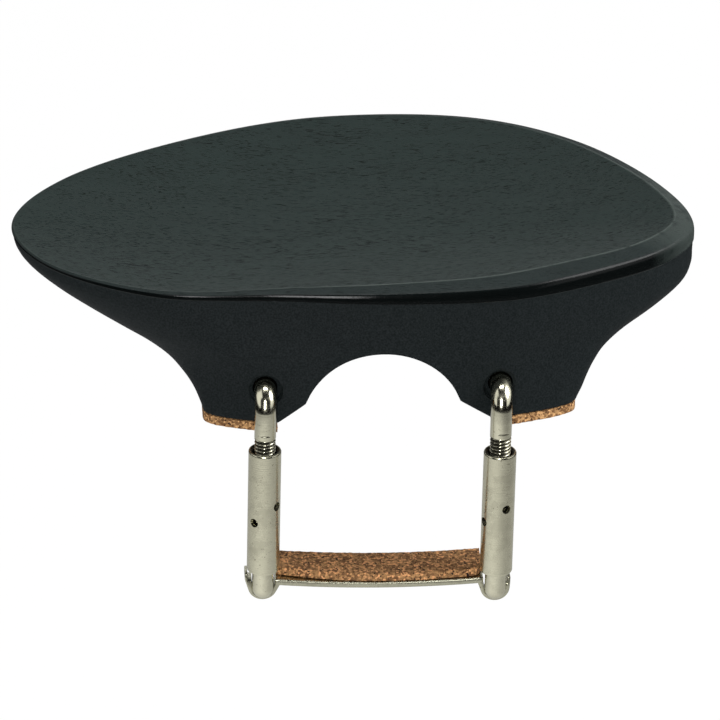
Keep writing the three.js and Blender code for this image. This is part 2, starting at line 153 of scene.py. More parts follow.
# Painted shade: the depth at which a thread root is painted fully dark, and how dark the barrels' flat end rings are
# painted as a dark reflection
THREAD_SHADE_DEPTH = 0.0002
END_PAINTED_REFLECTION = 0.85
PLATE_THICKNESS = 0.0012
PLATE_SAG = 0.0008
PLATE_CORNER = 0.002
PLATE_EDGE = 0.00028
TONGUE_THICKNESS = 0.0005
TONGUE_EDGE = 0.00014
TONGUE_WIDTH = 0.0034
TONGUE_KNEE = 0.0012
TONGUE_REACH = {"left": 0.0033, "right": 0.0028}
TONGUE_RISE = {"left": 0.0012, "right": 0.0001}
NECK_REACH = 0.0033
FOOT_DROP = 0.00145
CRADLE_GAP = 0.00025
BRAZE_GAP = 0.00003
BRAZE_DROP = 0.0014
PLATE_HALF = right_stud_low.x - CRADLE_GAP
PLATE_TOP = stud_low.z + (stud_high.x - stud_low.x) / 2 + FOOT_DROP
STRIP_LEFT_INSET = 0.0016
STRIP_RIGHT_INSET = 0.0005
BARREL_ROOM = 0.0003
CORK_EDGE = 0.0003
CORK_CLOSING = (0.9, 0.7, 0.45, 0.2, 0)
STRIP_END_ROWS = (0, 0.0003, 0.0007)
PAD_REACH = 0.9995
CORK_DENT_SIZE = 0.0007
CORK_DENT_DEPTH = 0.00022
MERGE = 0.000001

# Looks: colours, from dark to pale in a pair, and noise scales a metre
PORE_LENGTH, PORE_WIDTH = 0.0019, 0.00017
GRAIN_DRIFT, GRAIN_WOBBLE = (60, 160, 160), (0, 0.0016, 0.0016)
PORE_PATCHES, STREAKS = (90, 210, 210), (45, 900, 900)
PORE_THRESHOLD, PORE_SPREAD, PORE_EDGE = 0.67, 0.14, 0.05
BODY_COLOURS = (0.0025, 0.0052, 0.0056), (0.0098, 0.0132, 0.0142)
DISH_COLOURS = (0.0035, 0.0088, 0.0077), (0.0075, 0.016, 0.014)
PORE_COLOUR = (0.0015, 0.0022, 0.002)
POLISHED_COLOUR = (0.0022, 0.003, 0.003)
# The lighter colour of the painted highlights and sheen on the rim, broken up by the noise scale and range below
PAINTED_HIGHLIGHT_COLOUR = (0.055, 0.068, 0.062)
MOTTLE_SCALE, HIGHLIGHT_BREAKUP_SCALE, HAZE_SCALE, WOOD_FINE_SCALE = 3200.0, 500.0, 700.0, 2200.0
MOTTLE_RANGE, HIGHLIGHT_BREAKUP_RANGE = (0.3, 0.7), (0.2, 0.5)
WOOD_ROUGHNESS, HAZE_ROUGHNESS, PORE_ROUGHNESS = 0.55, 0.12, 0.4
SATIN_SMOOTHNESS, POLISH_SMOOTHNESS, WOOD_FINE_DEPTH = 0.1, 0.4, 0.3
GRANULE_SIZE, GRANULE_SHARE = 0.00042, 0.6
CORK_FINE_SCALE, CORK_SPECK_SCALE = 2600.0, 1500.0
CORK_SPECK_RANGE, SPECK_DEPTH = (0.63, 0.69), 0.7
SEAM_WIDTH, SEAM_DARKNESS = 0.1, 0.35
TONE_RANGE, CRUMB_RANGE = (0.25, 0.65), (0.62, 0.75)
# Each cork's pale and dark granules, specks and crumbs
PAD_COLOURS = (0.42, 0.235, 0.1), (0.15, 0.07, 0.026), (0.025, 0.013, 0.008), (0.6, 0.34, 0.15)
STRIP_COLOURS = (0.4, 0.215, 0.088), (0.14, 0.066, 0.028), (0.02, 0.011, 0.008), (0.68, 0.33, 0.14)
STAIN_SCALE, PIT_SCALE, LINE_SCALE = 380.0, 2400.0, 90.0
STAIN_RANGE, PIT_RANGE = (0.42, 0.75), (0.71, 0.76)
# The last strength, roughness and colour below are for the painted shade in the metal's hollows
STAIN_STRENGTH, PIT_STRENGTH, PAINTED_SHADE_STRENGTH = 0.42, 0.55, 0.96
STAIN_ROUGHNESS, PIT_ROUGHNESS, PAINTED_SHADE_ROUGHNESS = 0.1, 0.3, 0.3
PIT_COLOUR, PAINTED_SHADE_COLOUR = (0.12, 0.09, 0.05), (0.02, 0.018, 0.014)
# Each plating's colour, stain, roughness, line spacing and line depth
ROD_PLATING = (0.66, 0.64, 0.49), (0.5, 0.48, 0.36), 0.17, 0.0003, 0.1
TURNED_PLATING = (0.64, 0.62, 0.47), (0.5, 0.48, 0.36), 0.23, 0.00022, 0.3
PRESSED_PLATING = (0.46, 0.45, 0.34), (0.3, 0.28, 0.21), 0.26, 0.0008, 0.15

# Camera and studio
CAMERA_AIM = (0, -0.009, 0)
CAMERA_TURN, CAMERA_FALL, CAMERA_ROLL = 4.0, 27.5, 1.4
CAMERA_DISTANCE = 1.1
CAMERA_ACROSS, CAMERA_UP = -0.00419, 0.01399
CAMERA_LENS, CAMERA_SENSOR = 301.95, 36
WORLD_LIGHT = 0.55
FLOOR_HEIGHT = -0.16
FLOOR_RADIUS = 4.0
FLOOR_GLOW = 0.97
# Painted light on the floor, seen only in reflections: a pool, its bright spot and the dim level round it
PAINTED_POOL_RANGE = (0.33, 0.39)
PAINTED_SPOT_PLACE = (-0.15, -0.26, 0)
PAINTED_SPOT_REACH = 0.5
DIM_FLOOR = 0.5
FLOOR_COLOUR, DARK_CARD, GREY_CARD = (0.8, 0.8, 0.8), (0.01, 0.01, 0.01), (0.75, 0.75, 0.75)

# Counts
COLUMNS = 256
FLARE_ROWS = 44
ROD_SIDES = 48
ROWS_A_PITCH = 8
BEND_ROWS = 18
DOME_ROWS = 10
FLOOR_SIDES = 64
BARREL_SIDES = 72
HOLE_SIDES = 24
MOUTH_SIDES = 48
BORE_ROWS = 60
PLATE_COLUMNS = 41
WALL_STEPS = 1201
CURVE_STEPS = 120
ARC_STEPS, CORNER_STEPS = 20, 10
STRIP_ROWS, STRIP_RING = 110, (26, 8)
PAD_ROWS, PAD_RING = 40, (30, 8)
# The angle up to which each kind of piece is smooth
WOOD_SMOOTH, ROD_SMOOTH, BARREL_SMOOTH, PLATE_SMOOTH, CORK_SMOOTH = 30, 40, 32, 35, 50


# Modelling helpers
def pick(piece):
    bpy.ops.object.select_all(action="DESELECT")
    piece.select_set(True)
    bpy.context.view_layer.objects.active = piece


def new_shape(name, add, **settings):
    """Adds a shape with one of Blender's add operators, and names it."""
    add(**settings)
    piece = bpy.context.object
    piece.name = piece.data.name = name
    return piece


def finish_edit():
    """Turns all faces outwards and leaves Edit Mode."""
    bpy.ops.mesh.select_all(action="SELECT")
    bpy.ops.mesh.normals_make_consistent(inside=False)
    bpy.ops.object.mode_set(mode="OBJECT")


def finish_piece(piece, angle):
    """Puts the piece's place in its mesh and smooths it, with edges sharper than the angle kept."""
    pick(piece)
    bpy.ops.object.transform_apply(location=True, rotation=True, scale=True)
    bpy.ops.object.shade_smooth_by_angle(angle=math.radians(angle))
    return piece


def apply_modifier(piece, kind, **settings):
    pick(piece)
    modifier = piece.modifiers.new(kind.lower(), kind)
    for name, value in settings.items():
        setattr(modifier, name, value)
    bpy.ops.object.modifier_apply(modifier=modifier.name)


def join_shape(piece, other, operation="UNION"):
    """Joins the other shape to the piece, or cuts it out, and deletes the other."""
    apply_modifier(piece, "BOOLEAN", operation=operation, solver="EXACT", object=other)
    bpy.data.objects.remove(other)


def cut(piece, cutter):
    join_shape(piece, cutter, "DIFFERENCE")


def skin(name, places, **marks):
    """A closed skin over rows of rings. An upright tube is drawn up row by row, and each point moves to
    its place, with its marks. Rings that have shrunk to a point close the ends."""
    places = np.array(places)
    rows, columns = places.shape[:2]
    piece = new_shape(name, bpy.ops.mesh.primitive_circle_add, vertices=columns)
    bpy.ops.object.mode_set(mode="EDIT")
    mesh = bmesh.from_edit_mesh(piece.data)
    column = mesh.verts.layers.int.new("column")
    for i, vert in enumerate(mesh.verts):
        vert[column] = i
    bpy.ops.mesh.select_all(action="SELECT")
    bpy.ops.mesh.extrude_repeat(steps=rows - 1, offset=(0, 0, 1))
    mesh = bmesh.from_edit_mesh(piece.data)
    for mark in marks:
        mesh.verts.layers.float.new(mark)
    column = mesh.verts.layers.int["column"]
    for vert in mesh.verts:
        place = (round(vert.co.z), vert[column])
        for mark, values in marks.items():
            vert[mesh.verts.layers.float[mark]] = values[place]
        vert.co = places[place]
    mesh.verts.layers.int.remove(column)
    bmesh.update_edit_mesh(piece.data)
    bpy.ops.mesh.select_all(action="SELECT")
    bpy.ops.mesh.remove_doubles(threshold=MERGE)
    finish_edit()
    return piece


def round_edges(piece, width, mark=None, segments=3):
    """Rounds the piece's sharp edges, or only those between points with a mark, which then goes."""
    pick(piece)
    bpy.ops.object.mode_set(mode="EDIT")
    bpy.ops.mesh.select_mode(type="EDGE")
    bpy.ops.mesh.select_all(action="DESELECT")
    bpy.ops.mesh.edges_select_sharp(sharpness=math.radians(SHARP_ANGLE))
    mesh = bmesh.from_edit_mesh(piece.data)
    if mark:
        marked = mesh.verts.layers.float[mark]
        for edge in mesh.edges:
            if min(vert[marked] for vert in edge.verts) < 0.5:
                edge.select_set(False)
        mesh.verts.layers.float.remove(marked)
    bmesh.update_edit_mesh(piece.data)
    bpy.ops.mesh.bevel(offset=width, segments=segments, affect="EDGES")
    bpy.ops.object.mode_set(mode="OBJECT")


def extruded(name, outline, front, back):
    """A flat shape in the XZ plane, filled and extruded from the front to the back."""
    piece = new_shape(name, bpy.ops.mesh.primitive_circle_add, vertices=len(outline), fill_type="NGON")
    bpy.ops.object.mode_set(mode="EDIT")
    mesh = bmesh.from_edit_mesh(piece.data)
    mesh.verts.ensure_lookup_table()
    for vert, (x, z) in zip(mesh.verts, outline):
        vert.co = (x, front, z)
    bmesh.update_edit_mesh(piece.data)
    bpy.ops.mesh.select_all(action="SELECT")
    bpy.ops.mesh.extrude_region_move(TRANSFORM_OT_translate={"value": (0, back - front, 0)})
    finish_edit()
    return piece


def upright(name):
    """The corners, the middle and the radius of a round upright piece, from its box."""
    low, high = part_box(name)
    return low, high, (low.x + high.x) / 2, (low.y + high.y) / 2, (high.x - low.x) / 2


def even_turns(count):
    return np.arange(count) / count * 2 * math.pi


def circle_rows(centres, radii, sides=ROD_SIDES, leans=None):
    """Rings of a rod, one for each centre, leaning from level (0) to upright facing +Y (a quarter turn)."""
    angles = even_turns(sides)
    leans = np.zeros(len(centres)) if leans is None else leans
    rows = []
    for centre, radius, lean in zip(centres, radii, leans):
        out = radius * np.sin(angles)
        across = centre[0] + radius * np.cos(angles)
        rows.append(np.stack([across, centre[1] + out * math.cos(lean), centre[2] - out * math.sin(lean)], 1))
    return rows


def upright_rows(x, y, heights, radii, sides=ROD_SIDES):
    return circle_rows([(x, y, height) for height in heights], radii, sides)


def around(turn, values):
    """A value that changes smoothly around the cup, given at the right, back, left and front."""
    values = np.array([np.broadcast_to(value, turn.shape) for value in values])
    quarter = np.mod(turn / (math.pi / 2), 4)
    side = np.floor(quarter).astype(int) % 4
    blend = (1 - np.cos((quarter - np.floor(quarter)) * math.pi)) / 2
    column = np.arange(COLUMNS)
    return values[side, column] * (1 - blend) + values[(side + 1) % 4, column] * blend


def read_table(table, share):
    """Reads a table of equal steps on a smooth curve through its values."""
    table = np.array(table, float)
    padded = np.concatenate([[table[0]], table, [table[-1]]])
    step = np.clip(share, 0, 1) * (len(table) - 1)
    i = np.minimum(np.floor(step).astype(int), len(table) - 2)
    f = step - i
    return smooth(*(padded[i + k] for k in range(4)), f)


def smooth(a, b, c, d, f):
    """A smooth curve through four even steps, read at a share of the way from b to c."""
    return b + f / 2 * (c - a + f * (2 * a - 5 * b + 4 * c - d + f * (3 * (b - c) + d - a)))


def round_rim(turn, table):
    """Reads a table of even turns round the rim on a smooth closed curve."""
    table = np.array(table, float)
    place = np.mod(turn / (2 * math.pi), 1) * len(table)
    start = np.floor(place).astype(int)
    return smooth(*(table[(start + k) % len(table)] for k in (-1, 0, 1, 2)), place - start)


# Wood
def face_y(x):
    """The block's convex front face, an arc seen from above."""
    return FACE_RADIUS - FACE_FRONT - np.sqrt(FACE_RADIUS**2 - (x + FACE_SHIFT) ** 2)


def arch_z(x):
    """The underside of the block: the arch, a slope from each spring to the foot, then the foot."""
    inner = np.where(x < 0, -left_pad_high.x, right_pad_low.x)
    reach = np.abs(x)
    arch = ARCH_CENTRE + np.sqrt(np.maximum(ARCH_RADIUS**2 - x**2, 0))
    slope = ARCH_SPRING + (PAD_THICKNESS - ARCH_SPRING) * (reach - ARCH_HALF) / (inner - ARCH_HALF)
    return np.where(reach < ARCH_HALF, arch, np.maximum(slope, PAD_THICKNESS))


def outline_curve():
    """The rim from above: a smooth closed curve through the outline's corners, counter-clockwise."""
    corners = []
    for across, along in OUTLINE_SHARES:
        reach = -cup_low.x if across < 0 else cup_high.x
        corners.append(Vector((across * reach, along * DEPTH - FACE_FRONT)))
    points = []
    for i in range(len(corners)):
        a, b, c, d = (corners[(i + k - 1) % len(corners)] for k in range(4))
        ab, bc, cd = ((q - p).length ** 0.5 for p, q in ((a, b), (b, c), (c, d)))
        leave = ((b - a) / ab - (c - a) / (ab + bc) + (c - b) / bc) * bc
        arrive = ((c - b) / bc - (d - b) / (bc + cd) + (d - c) / cd) * bc
        for t in np.linspace(0, 1, CURVE_STEPS, endpoint=False):
            square = 3 * (c - b) - 2 * leave - arrive
            cube = 2 * (b - c) + leave + arrive
            points.append(b + leave * t + square * t**2 + cube * t**3)
    curve = np.array(points)
    low, high = curve.min(0), curve.max(0)
    box_low, box_high = np.array(cup_low.xy), np.array(cup_high.xy)
    return box_low + (curve - low) / (high - low) * (box_high - box_low)


def rim_columns():
    """The rim point of each column, front and back columns paired at the same share across."""
    curve = outline_curve()
    right, left = curve[:, 0].argmax(), curve[:, 0].argmin()
    back = curve[right : left + 1]
    front = np.concatenate([curve[left:], curve[: right + 1]])
    across = np.cos(even_turns(COLUMNS))
    half = COLUMNS // 2
    # The arch's springs and the feet's inner edges each get a column of their own
    level = (ARCH_SPRING - PAD_THICKNESS) / (cup_high.z - PAD_THICKNESS)
    spring_spread = read_table(SPREAD_SHARES[3], level)
    kinks = [(-ARCH_HALF, spring_spread), (ARCH_HALF, spring_spread), (left_pad_high.x, 0), (right_pad_low.x, 0)]
    for x, spread in kinks:
        reach = -cup_low.x if x < FOOT_MIDDLE else cup_high.x
        share = (x - FOOT_MIDDLE * (1 - spread)) / (FOOT_HALF * (1 - spread) + reach * spread)
        k = int(np.abs(across[: half + 1] - share).argmin())
        across[k] = across[(COLUMNS - k) % COLUMNS] = share
    x = np.where(across < 0, across * -cup_low.x, across * cup_high.x)
    y_back = np.interp(-x, -back[:, 0], back[:, 1])
    y_front = np.interp(x, front[:, 0], front[:, 1])
    y = np.where(np.arange(COLUMNS) <= half, y_back, y_front)
    return across, np.stack([x, y], 1)


def foot_bulge(across):
    """How deep the outline round both feet is at a share of its half-width, as a share of the depth."""
    return np.maximum(1 - np.abs(across) ** FOOT_CORNER_POWER, 0) ** (1 / FOOT_CORNER_POWER)


def toward_centre(points, distance):
    """The way from each rim point to the dish's centre, seen from above, with that length."""
    way = np.array(DISH_CENTRE.xy) - points
    return way / np.linalg.norm(way, axis=1, keepdims=True) * np.reshape(distance, (-1, 1))


def chinrest_wood():
    across, rim = rim_columns()
    turn = np.arctan2(2 * (rim[:, 1] - DISH_CENTRE.y) / DEPTH, across)
    foot_x = FOOT_MIDDLE + across * FOOT_HALF
    side = np.where(np.arange(COLUMNS) <= COLUMNS // 2, 1, -1)
    foot = np.stack([foot_x, face_y(foot_x) + FOOT_DEPTH / 2 * (1 + side * foot_bulge(across))], 1)
    crest_z = RIM_HEIGHT * (1 - round_rim(turn, RIM_DROP_SHARES))
    edge_z = crest_z - ROLL_HEIGHT * round_rim(turn, ROLL_HEIGHT_SHARES)
    lip = rim + toward_centre(rim, LIP_STEP)

    def wall(level):
        """The wall's points at a share of its height, one for each column."""
        spread = around(turn, [read_table(shares, level) for shares in SPREAD_SHARES])
        plan = foot + (lip - foot) * spread[:, None]
        return np.column_stack([plan, PAD_THICKNESS + (edge_z - PAD_THICKNESS) * level])

    # The wall starts where it meets the arch
    levels = np.linspace(0, 1, WALL_STEPS)
    heights = np.array([wall(np.full(COLUMNS, level)) for level in levels])
    above = heights[:, :, 2] >= arch_z(heights[:, :, 0])
    start = levels[above.argmax(0)]
    flare = [wall(start + (1 - start) * share) for share in np.linspace(0, 1, FLARE_ROWS)]
    flare[0][:, 2] = arch_z(flare[0][:, 0])
    opposite = flare[0][(-np.arange(COLUMNS)) % COLUMNS]
    spine = (flare[0] + opposite) / 2
    # The spine stops short of the feet's outer ends, so that the rows keep clear of the edge there
    order = np.argsort(spine[:, 0])
    kept = np.clip(spine[:, 0], left_pad_low.x + FOOT_DEPTH / 2, right_pad_high.x - FOOT_DEPTH / 2)
    spine[:, 1] = np.interp(kept, spine[order, 0], spine[order, 1])
    spine[:, 0] = kept
    under = []
    for share in UNDER_SHARES:
        row = spine + (flare[0] - spine) * share
        row[:, 2] = arch_z(row[:, 0])
        under.append(row)
    # The rolled edge, from a crisp lower lip to the crest
    roll = [
        np.column_stack([rim + toward_centre(rim, LIP_STEP / 3), edge_z + LIP_RADIUS / 4]),
        np.column_stack([rim, edge_z + LIP_RADIUS]),
    ]
    width = ROLL_WIDTH * round_rim(turn, ROLL_WIDTH_SHARES)
    for inward, up, _ in ROLL_SECTION:
        plan = rim + toward_centre(rim, width * inward)
        roll.append(np.column_stack([plan, edge_z + np.maximum((crest_z - edge_z) * up, LIP_RADIUS * (1 + up))]))
    crest = roll[-1]
    centre = np.array(DISH_CENTRE)
    dish = []
    for share in DISH_SHARES:
        row = centre + (crest - centre) * share
        row[:, 2] = centre[2] + (crest[:, 2] - centre[2]) * share**DISH_POWER
        dish.append(row)
    places = np.array(under + flare + roll + dish)
    # Finish of each row: the face is sanded, the band is polished, and the land and the dish are satin.
    # The crest and the band's lower lip get a painted highlight, and the roll's right end a painted sheen
    polish, satin, worn, underside = (np.zeros(places.shape[:2]) for _ in range(4))
    first = len(under) + len(flare)
    last = first + len(roll)
    fading = np.interp(rim[:, 0], POLISH_FADE, (1, 0))
    polish[first:last] = np.array([1, 1, *(shine for _, _, shine in ROLL_SECTION)])[:, None] * fading
    # The land is only partly satin: painted shade, a darker colour than the dish's
    satin[first + 2 : last] = LAND_SATIN_SHADE
    satin[last:] = 1
    # Painted highlight on the crest and the band's lower lip, and painted sheen on the roll's right end where the
    # polish fades
    crest_painted_highlight = around(turn, CREST_PAINTED_HIGHLIGHT)
    worn[first + 2 : last - 2] = SIDE_PAINTED_SHEEN * (1 - fading)
    worn[last - 2], worn[last - 1], worn[last] = crest_painted_highlight * CREST_EASE, crest_painted_highlight, crest_painted_highlight * CREST_EASE
    worn[first] = LIP_PAINTED_HIGHLIGHT * np.abs(np.cos(turn))
    underside[: len(under) + 1] = 1
    piece = skin("chinrest_wood", places, polish=polish, satin=satin, worn=worn, underside=underside)
    round_edges(piece, EDGE_ROUNDING, mark="underside")
    for leg in ("left", "right"):
        cut(piece, hook_hole(leg))
    return finish_piece(piece, WOOD_SMOOTH)


def hook_hole(leg):
    """The drilled hole for a hook, with its wider mouth, as a cutter."""
    _, high, x, _, rod = upright(f"{leg}_hook")
    front = face_y(x)
    hole, wide = rod + HOLE_CLEARANCE, MOUTH_RADIUS + MOUTH_CHAMFER
    end = high.y + HOLE_CLEARANCE - front
    steps = (
        (-MOUTH_DEPTH, 0), (-MOUTH_DEPTH, wide), (0, wide), (MOUTH_CHAMFER, MOUTH_RADIUS),
        (MOUTH_DEPTH, MOUTH_RADIUS), (MOUTH_DEPTH + MOUTH_CHAMFER, hole), (end, hole), (end, 0),
    )
    centres = [(x, front + depth, high.z - rod) for depth, _ in steps]
    leans = np.full(len(steps), math.pi / 2)
    return skin(f"{leg}_hole", circle_rows(centres, [radius for _, radius in steps], MOUTH_SIDES, leans))


# Metal
def thread_radius(z, angle, hand):
    """The radius of a screw thread at a height and angle; hand is 1 for right-hand, -1 for left-hand."""
    phase = np.mod(z / THREAD_PITCH - hand * angle / (2 * math.pi), 1)
    tooth = np.abs(phase - 0.5) * 2
    return THREAD_RADIUS - THREAD_DEPTH * np.clip((tooth - THREAD_CREST) / THREAD_FLANK, 0, 1)


def threaded_rows(x, y, low, high, hand, blunt_low, blunt_high):
    """Rings of a threaded rod between two heights, with the thread run out at the blunt ends."""
    heights = np.linspace(low, high, int(round((high - low) / THREAD_PITCH * ROWS_A_PITCH)))
    radii = []
    for z in heights:
        radius = thread_radius(z, even_turns(ROD_SIDES), hand)
        for end, blunt in ((z - low, blunt_low), (high - z, blunt_high)):
            if blunt:
                radius = np.minimum(radius, THREAD_RADIUS - THREAD_DEPTH * max(0, 1 - end / THREAD_PITCH))
        radii.append(radius)
    return upright_rows(x, y, heights, radii)


def hollow_marks(rows, x, y, rod, top, depth_of_grime):
    """How deep each point below a height lies in the rod, as a share of a depth."""
    places = np.array(rows)
    depth = rod - np.hypot(places[:, :, 0] - x, places[:, :, 1] - y)
    return np.where(places[:, :, 2] < top, np.clip(depth / depth_of_grime, 0, 1), 0)


def marked_radius(rod, height, leg):
    """The shank's radius around a ring, with a short grip mark across its front."""
    angles = even_turns(ROD_SIDES)
    across = rod * np.cos(angles) - GRIP_MARK_SHIFT[leg]
    inside = (np.abs(across) < GRIP_MARK_HALF) & (np.sin(angles) < 0)
    reach = max(0, 1 - (abs(height - GRIP_MARK_PLACE) / GRIP_MARK_HEIGHT) ** 2)
    return rod - GRIP_MARK_DEPTH * reach * inside


def hook(leg):
    low, high, x, _, rod = upright(f"{leg}_hook")
    y, z = low.y + rod, high.z - rod
    rows = upright_rows(x, y, [low.z], [0])
    rows += threaded_rows(x, y, low.z, SHANK_END - THREAD_EASE, 1, True, False)
    shank = [SHANK_END, SHANK_END + SHANK_EASE, *np.arange(*SHANK_ROWS), SHANK_MIDDLE, z - HOOK_BEND]
    rows += upright_rows(x, y, shank, [marked_radius(rod, height, leg) for height in shank])
    leans = np.linspace(0, math.pi / 2, BEND_ROWS + 1)[1:]
    bend = [(x, y + HOOK_BEND * (1 - math.cos(lean)), z - HOOK_BEND * (1 - math.sin(lean))) for lean in leans]
    rows += circle_rows(bend, [rod] * len(bend), leans=leans)
    rows += circle_rows([(x, high.y, z)] * 2, [rod, 0], leans=[math.pi / 2] * 2)
    # Painted shade: the thread roots and the grip mark are coloured darker by how deep they lie
    thread = hollow_marks(rows, x, y, rod, SHANK_END, THREAD_SHADE_DEPTH)
    grip_mark = hollow_marks(rows, x, y, rod, z - HOOK_BEND, GRIP_MARK_DEPTH)
    grime = np.where(np.array(rows)[:, :, 2] < SHANK_END, thread, grip_mark)
    return finish_piece(skin(f"{leg}_hook_rod", rows, grime=grime), ROD_SMOOTH)


def stud(leg):
    low, high, x, y, rod = upright(f"{leg}_stud")
    barrel_low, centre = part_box(f"{leg}_barrel")[0], low.z + rod
    dome = np.linspace(0, math.pi / 2, DOME_ROWS + 1)
    heights = [*(centre - rod * np.cos(dome)), barrel_low.z - STUD_EASE, barrel_low.z]
    radii = [*(rod * np.sin(dome)), rod, rod - STUD_EASE]
    rows = upright_rows(x, y, heights, radii)
    rows += threaded_rows(x, y, barrel_low.z + THREAD_EASE, high.z, -1, False, True)
    rows += upright_rows(x, y, [high.z], [0])
    # Painted shade in the thread roots, none on the dome
    grime = hollow_marks(rows, x, y, rod, high.z, THREAD_SHADE_DEPTH)
    grime[: DOME_ROWS + 2] = 0
    return finish_piece(skin(f"{leg}_stud_post", rows, grime=grime), ROD_SMOOTH)


def barrel(leg):
    low, high, x, y, radius = upright(f"{leg}_barrel")
    middle = (low.z + high.z) / 2
    c, ease = BARREL_CHAMFER, BARREL_CHAMFER * CHAMFER_EASE
    mouth = BORE_RADIUS + BORE_FLARE
    # Heights and radii from the lower mouth up the outside, and down the bore
    profile = [(low.z + BORE_FLARE, BORE_RADIUS), (low.z, mouth), (low.z, radius - c)]
    profile += [(low.z + ease, radius - ease), (low.z + c, radius)]
    for share in BELOW_KEY_SHARES:
        profile.append((low.z + c + (middle - KEY_ROWS_HALF - low.z - c) * share, radius))
    profile += [(height, radius) for height in middle + np.arange(*KEY_ROWS)]
    for share in ABOVE_KEY_SHARES:
        profile.append((middle + KEY_ROWS_HALF + (high.z - c - middle - KEY_ROWS_HALF) * share, radius))
    profile += [(high.z - ease, radius - ease), (high.z, radius - c), (high.z, mouth)]
    profile += [(height, BORE_RADIUS) for height in np.linspace(high.z - BORE_FLARE, low.z + BORE_FLARE, BORE_ROWS)]
    heights, radii = zip(*profile)
    rows = upright_rows(x, y, heights, radii, BARREL_SIDES)
    # Painted shade inside the bore and its mouths, and a painted dark reflection on the flat end rings
    barrel_shade = np.array([1 if ring <= mouth else END_PAINTED_REFLECTION * (ring <= radius - c) for ring in radii])
    piece = skin(f"{leg}_barrel_tube", rows, grime=np.repeat(barrel_shade[:, None], BARREL_SIDES, 1))
    angle = math.radians(KEY_ANGLES[leg])
    for offset, turn in ((KEY_HOLE_OFFSET, angle), (-KEY_HOLE_OFFSET, angle - math.pi / 2)):
        reach, wall = radius * KEY_HOLE_REACH, radius - KEY_HOLE_MOUTH
        half = [(wall, 1), (reach, KEY_HOLE_FLARE), (reach, 0)]
        steps = [(-along, share) for along, share in half[::-1]] + half
        centres = [(0, 0, along) for along, _ in steps]
        rings = circle_rows(centres, [KEY_HOLE_RADIUS * share for _, share in steps], HOLE_SIDES)
        place = Matrix.Translation((x, y, middle + offset)) @ Matrix.Rotation(turn, 4, "Z")
        place = place @ Matrix.Rotation(math.pi / 2, 4, "X")
        # The cutter carries painted shade onto the key hole's walls
        cutter = skin(f"{leg}_key_hole", rings, grime=np.ones((len(rings), HOLE_SIDES)))
        cutter.data.transform(place)
        cut(piece, cutter)
    return finish_piece(piece, BARREL_SMOOTH)


def touch(x, z, radius):
    """The turn at which a straight side from a point at the right touches an arc below it."""
    return math.atan2(z, x) - math.acos(radius / math.hypot(x, z))


def sag(x):
    """How far the plate's top lies below its ends."""
    return PLATE_SAG * (1 - (x / PLATE_HALF) ** 2)


def arc_points(x, z, radius, first, last, steps=ARC_STEPS):
    turns = np.linspace(first, last, steps + 1)
    return [(x + radius * math.cos(turn), z + radius * math.sin(turn)) for turn in turns]


def cradle(leg):
    """The cradle at one end of the plate, round the stud's foot, with a short upright arm. The brazing
    fills it up to the foot."""
    low, _, x, leg_y, rod = upright(f"{leg}_stud")
    side, leg_x = (1 if leg == "right" else -1), abs(x)
    front = plate_low.y
    foot = math.sqrt(rod**2 - (front - leg_y) ** 2)
    inner, outer = foot + BRAZE_GAP, foot + CRADLE_GAP + TONGUE_THICKNESS
    drop = PLATE_TOP - low.z - rod
    reach, tip = TONGUE_REACH[leg], drop + TONGUE_RISE[leg]
    inside, knee = reach - TONGUE_THICKNESS, tip - TONGUE_KNEE
    plate_end = leg_x - PLATE_HALF + PLATE_EDGE
    under = drop - PLATE_THICKNESS + PLATE_EDGE
    middle = drop - PLATE_THICKNESS / 2
    outline = [(reach, tip), (reach, knee)]
    outline += arc_points(0, 0, outer, touch(reach, knee, outer), -math.pi - touch(NECK_REACH, under, outer))
    outline += [(-NECK_REACH, under), (-NECK_REACH, middle), (-plate_end, middle)]
    outline += arc_points(0, 0, inner, -math.pi - touch(plate_end, middle, inner), 0)
    outline += [(inner, tip - BRAZE_DROP), (inside, tip - BRAZE_DROP), (inside, tip)]
    placed = [(side * (leg_x + x), PLATE_TOP - drop + z) for x, z in outline]
    piece = extruded("cradle", placed, front, front + TONGUE_WIDTH)
    round_edges(piece, TONGUE_EDGE, segments=2)
    return piece


def bracket_plate():
    """The bent plate, sagging between its ends, with a cradle joined on at each end."""
    xs = np.linspace(-PLATE_HALF, PLATE_HALF, PLATE_COLUMNS)
    top = [(x, PLATE_TOP - sag(x)) for x in xs]
    bottom = [(x, z - PLATE_THICKNESS) for x, z in reversed(top)]
    piece = extruded("clamp_plate", top + bottom, plate_low.y, plate_high.y)
    corner_x, corner_y = PLATE_HALF - PLATE_CORNER, plate_high.y - PLATE_CORNER
    for side in (-1, 1):
        turns = math.pi / 2, math.pi / 2 - side * math.pi / 2
        outline = arc_points(side * corner_x, corner_y, PLATE_CORNER, *turns, CORNER_STEPS)
        beyond_x, beyond_y = side * (PLATE_HALF + PLATE_CORNER), plate_high.y + PLATE_CORNER
        outline += [(beyond_x, corner_y), (beyond_x, beyond_y), (side * corner_x, beyond_y)]
        cutter = extruded("corner", outline, 0, PLATE_CORNER * 4)
        # The shape lay in XZ and ran along +Y; it is stood up so that it runs along Z
        cutter.data.transform(Matrix(((1, 0, 0, 0), (0, 0, 1, 0), (0, 1, 0, plate_low.z - PLATE_CORNER), (0, 0, 0, 1))))
        cutter.data.flip_normals()
        cut(piece, cutter)
    round_edges(piece, PLATE_EDGE)
    for leg in ("left", "right"):
        join_shape(piece, cradle(leg))
    return finish_piece(piece, PLATE_SMOOTH)


